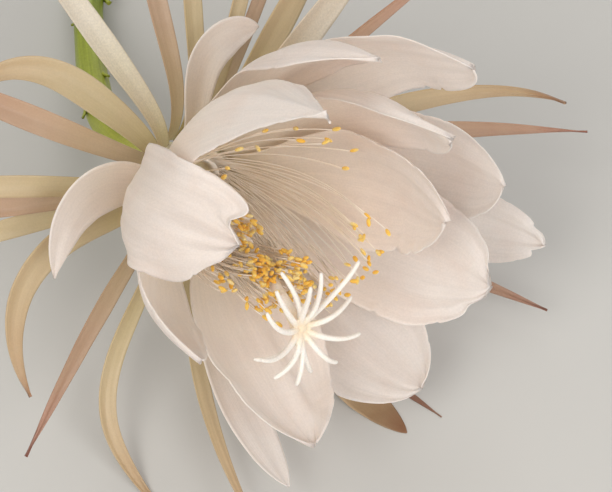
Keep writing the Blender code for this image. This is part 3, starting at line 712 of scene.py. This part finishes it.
def pollen_coat():
    """Open anthers: a dull yellow to orange coat of loose pollen grains."""
    # The colour changes about every 4 mm, so that each anther has its own. Real grains are under 0.1 mm, too
    # fine to show, so they are drawn at about 0.3 mm
    material, tree, shader = new_material("pollen_coat", 0.75, Sheen_Weight=0.25, Subsurface_Weight=0.35,
                                          Subsurface_Scale=2 * MM)
    place_on = add(tree, "TexCoord").outputs["Object"]
    each = add(tree, "TexNoise", _0=place_on, Scale=260.0, Detail=1.0).outputs[0]
    body = ramp(tree, each, ((0.32, "#FFBE46"), (0.5, "#FFD062"), (0.68, "#FFE8A6")))
    grains = add(tree, "TexVoronoi", _0=place_on, Scale=3600.0).outputs[0]
    grain_tone_and_sheen = add(tree, "MapRange", _0=grains, _1=0.0, _2=0.7, _3=1.08, _4=0.90).outputs[0]
    colour = add(tree, "VectorMath", {"operation": "SCALE"}, _0=body, Scale=grain_tone_and_sheen).outputs[0]
    tree.links.new(colour, shader.inputs["Base Color"])
    bump = add(tree, "Bump", {"invert": True}, Strength=0.4, Distance=0.0002, Height=grains).outputs[0]
    tree.links.new(bump, shader.inputs["Normal"])
    return material


filament_mesh = bmesh.new()
anther_mesh = bmesh.new()
collar = bmesh.new()
bmesh.ops.create_cone(collar, cap_ends=False, segments=COLLAR_SIDES, radius1=1, radius2=1, depth=2)
for v in collar.verts:
    near = COLLAR_FROM if v.co.z > 0 else COLLAR_TO
    radius = profile(THROAT_RADII, near * MM) - COLLAR_GAP
    v.co = THROAT - AXIS * near * MM + (TOP * v.co.x + SIDE * v.co.y) * radius
bmesh.ops.recalc_face_normals(collar, faces=collar.faces[:])
bmesh.ops.solidify(collar, geom=collar.faces[:], thickness=COLLAR_WIDTH)
join(filament_mesh, collar)
all_stamens(filament_mesh, anther_mesh, STAMEN_GROUPS, Random(STAMEN_SEED))
all_stamens(filament_mesh, anther_mesh, EXTRA_GROUPS, Random(EXTRA_SEED))
make_piece(filament_mesh, "filaments", thread_tissue(), "stamens", "stamens")
make_piece(anther_mesh, "anthers", pollen_coat(), "stamens", "stamens")

# The pistil is one soft white column, the style, that rises past the stamens and ends in a star of stigma
# lobes, cream at its middle. The lobes are blunt, a little crooked, and covered with a nap of short hairs.
STYLE_RADIUS = 1.9 * MM
STYLE_ROOT = 13.2 * MM
STYLE_POINTS, STYLE_SIDES = 24, 20
STYLE_BENDS = 1.6
# The style's width at each of its points, in shares of its radius
STYLE_WIDTHS = [0.85] + [0.98 + 0.05 * sin(k * 1.7) for k in range(20)] + [1.05, 1.2, 1.35]
STIGMA_TURN, STIGMA_OUT, STIGMA_FORWARD = 237, 24 * MM, 70 * MM
HEAD = place(STIGMA_FORWARD, STIGMA_OUT, STIGMA_TURN)
# Each lobe's turn round the style, its lean away from the axis and its length
LOBES = ((64, 72, 25), (32, 68, 20), (11, 60, 20), (3, 82, 22), (346, 78, 20), (323, 74, 20), (282, 70, 21),
         (264, 94, 17), (242, 76, 17), (216, 74, 17), (194, 84, 18), (170, 72, 18), (136, 74, 20),
         (100, 80, 18))
LOBE_RADIUS = 1.0 * MM
LOBE_SIDES = 10
BLUNT_TIP = 0.75
LOBE_BEND_CROOK, LOBE_SWAY_CROOK = 7, 10
HUB_RADIUS = 3.0 * MM
HUB_BALL_RADIUS = 0.92 * HUB_RADIUS
STAR_COLOURS_REACH = 16 * MM
MELT_SIZE = 0.28 * MM
LOBE_POINTS = 16
# How far each lobe swings to the side over its length, and how much further it curls back, in degrees
LOBE_SWINGS = (0, -6, 8, -8, 14, 34, 34, 30, 12, -6, -34, -18, -22, -12)
LOBE_CURLS = (0, 8, -6, 6, -10, 10, -6, 14, 26, 20, 34, 22, 0, 6)


def stigma_nap():
    """Receptive stigma skin: white, velvety with tiny hairs, creamier and moist towards the middle."""
    material, tree, shader = new_material("stigma_nap", 0.6, Sheen_Weight=0.35, Sheen_Roughness=0.5,
                                          Subsurface_Weight=0.30, Subsurface_Scale=3 * MM)
    # The hairs are too fine to show, so they are drawn as tufts of about 0.7 mm
    place_on = add(tree, "TexCoord").outputs["Object"]
    centred = add(tree, "VectorMath", {"operation": "DISTANCE"}, _0=place_on, _1=HEAD).outputs[1]
    outward = add(tree, "MapRange", _0=centred, _1=0.0, _2=STAR_COLOURS_REACH).outputs[0]
    body = ramp(tree, outward, ((0.0, "#F0D8B0"), (0.25, "#F7E8D2"), (0.5, "#FDF6EE")))
    hairs = add(tree, "TexNoise", _0=place_on, Scale=1500.0, Detail=3.0).outputs[0]
    shade = add(tree, "MapRange", _0=hairs, _1=0.35, _2=0.65, _3=0.93, _4=1.03).outputs[0]
    colour = add(tree, "VectorMath", {"operation": "SCALE"}, _0=body, Scale=shade).outputs[0]
    tree.links.new(colour, shader.inputs["Base Color"])
    bump = add(tree, "Bump", Strength=0.6, Distance=0.0003, Height=hairs).outputs[0]
    tree.links.new(bump, shader.inputs["Normal"])
    return material


def lobe_path(turn, pitch, length, swing, curl, seed):
    """A lobe that leaves the hub, spreads along its turn, swings and curls, and wavers a little."""
    random = Random(seed)
    crook = [random.uniform(-1, 1) for _ in range(4)]
    step_length = length * MM / (LOBE_POINTS - 1)
    points = [HEAD]
    a = radians(turn)
    out, around = TOP * cos(a) + SIDE * sin(a), SIDE * cos(a) - TOP * sin(a)
    for k in range(LOBE_POINTS + 1):
        t = k / LOBE_POINTS
        bend = pitch * (0.75 + 0.52 * t) + curl * (t * t - 0.2)
        bend = radians(bend + LOBE_BEND_CROOK * crook[0] * sin(6 * t + crook[1]))
        sway = radians(swing * (2 * t - 0.8) + LOBE_SWAY_CROOK * crook[2] * sin(5 * t + 2 * crook[3]) * t)
        step = AXIS * cos(bend) + (out * cos(sway) + around * sin(sway)) * sin(bend)
        reach = HUB_RADIUS * 0.5 if k == 0 else step_length
        points.append(points[-1] + step * reach)
    return points


def pistil():
    """The style and its lobes as overlapping soft rods, melted into one skin by a fine remesh."""
    bm = bmesh.new()
    path = []
    for t in np.linspace(0, 1, STYLE_POINTS):
        along = STIGMA_FORWARD * t - STYLE_ROOT * (1 - t)
        path.append(place(along, STIGMA_OUT * t ** STYLE_BENDS, STIGMA_TURN))
    thread(bm, path, [STYLE_RADIUS * share for share in STYLE_WIDTHS], STYLE_SIDES)
    hub_place = Matrix.Translation(HEAD)
    bmesh.ops.create_icosphere(bm, subdivisions=3, radius=HUB_BALL_RADIUS, matrix=hub_place)
    for k, (row, swing, curl) in enumerate(zip(LOBES, LOBE_SWINGS, LOBE_CURLS)):
        points = lobe_path(*row, swing, curl, k)
        last = len(points) - 1
        radii = [LOBE_RADIUS * (1.18 - 0.5 * i / last) for i in range(last + 1)]
        radii[last] = radii[last] * BLUNT_TIP
        thread(bm, points, radii, LOBE_SIDES)
    piece = make_piece(bm, "pistil_star", stigma_nap(), "pistil", "pistil")
    melt = piece.modifiers.new("melt", "REMESH")
    melt.mode = "VOXEL"
    melt.voxel_size = MELT_SIZE
    melt.use_smooth_shade = True
    bpy.context.view_layer.update()
    mesh = bpy.data.meshes.new_from_object(piece.evaluated_get(bpy.context.evaluated_depsgraph_get()))
    piece.modifiers.clear()
    piece.data = mesh
    mesh.shade_smooth()


pistil()

# The table is a plain pale sheet under the flower. Three large soft lamps and an even pale room light it, as
# in a studio, and the camera looks down on the bloom from in front of the cup.
TABLE_SIZE = 6.0
TABLE_COLOUR = "#C4C5C4"
ROOM_COLOUR = "#EFEAE4"
ROOM_LIGHT = 0.42
CAMERA_FROM_THROAT = Vector((35.3, -342.6, 552.8)) * MM
CAMERA_DOWN = 60
CAMERA_NEAREST = 10 * MM
LENS = 114.7
# Each lamp's name, its place in metres, its width, its power and its colour
LAMPS = (
    ("key", (-0.55, -0.65, 1.05), 0.7, 8.0, (1.0, 0.95, 0.88)),
    ("fill", (0.60, -0.75, 0.70), 0.8, 7.0, (1.0, 0.96, 0.92)),
    ("rim", (0.1, 0.95, 0.7), 0.6, 4, (1.0, 0.97, 0.93)),
)
bm = bmesh.new()
bmesh.ops.create_grid(bm, x_segments=1, y_segments=1, size=TABLE_SIZE / 2)
table_mesh = bpy.data.meshes.new("table_top")
bm.to_mesh(table_mesh)
bm.free()
table_top = bpy.data.objects.new("table_top", table_mesh)
table_paint, _, shader = new_material("pale_table", 0.8)
shader.inputs["Base Color"].default_value = linear(TABLE_COLOUR)
table_mesh.materials.append(table_paint)
bpy.context.collection.objects.link(table_top)

for name, spot, size, power, colour in LAMPS:
    lamp = bpy.data.lights.new(name, "AREA")
    lamp.size = size
    lamp.energy = power
    lamp.color = colour
    holder = bpy.data.objects.new(name, lamp)
    holder.location = spot
    holder.rotation_euler = (THROAT - Vector(spot)).to_track_quat("-Z", "Y").to_euler()
    bpy.context.collection.objects.link(holder)

room = bpy.data.worlds.new("pale_room")
bpy.context.scene.world = room
room.use_nodes = True
background = room.node_tree.nodes["Background"]
background.inputs[0].default_value = linear(ROOM_COLOUR)
background.inputs[1].default_value = ROOM_LIGHT

camera = bpy.data.objects.new("camera", bpy.data.cameras.new("camera"))
camera.data.lens = LENS
camera.data.clip_start = CAMERA_NEAREST
camera.location = THROAT + CAMERA_FROM_THROAT
camera.rotation_euler = (radians(90 - CAMERA_DOWN), 0, 0)
bpy.context.collection.objects.link(camera)
bpy.context.scene.camera = camera
bpy.context.scene.view_settings.view_transform = "Standard"
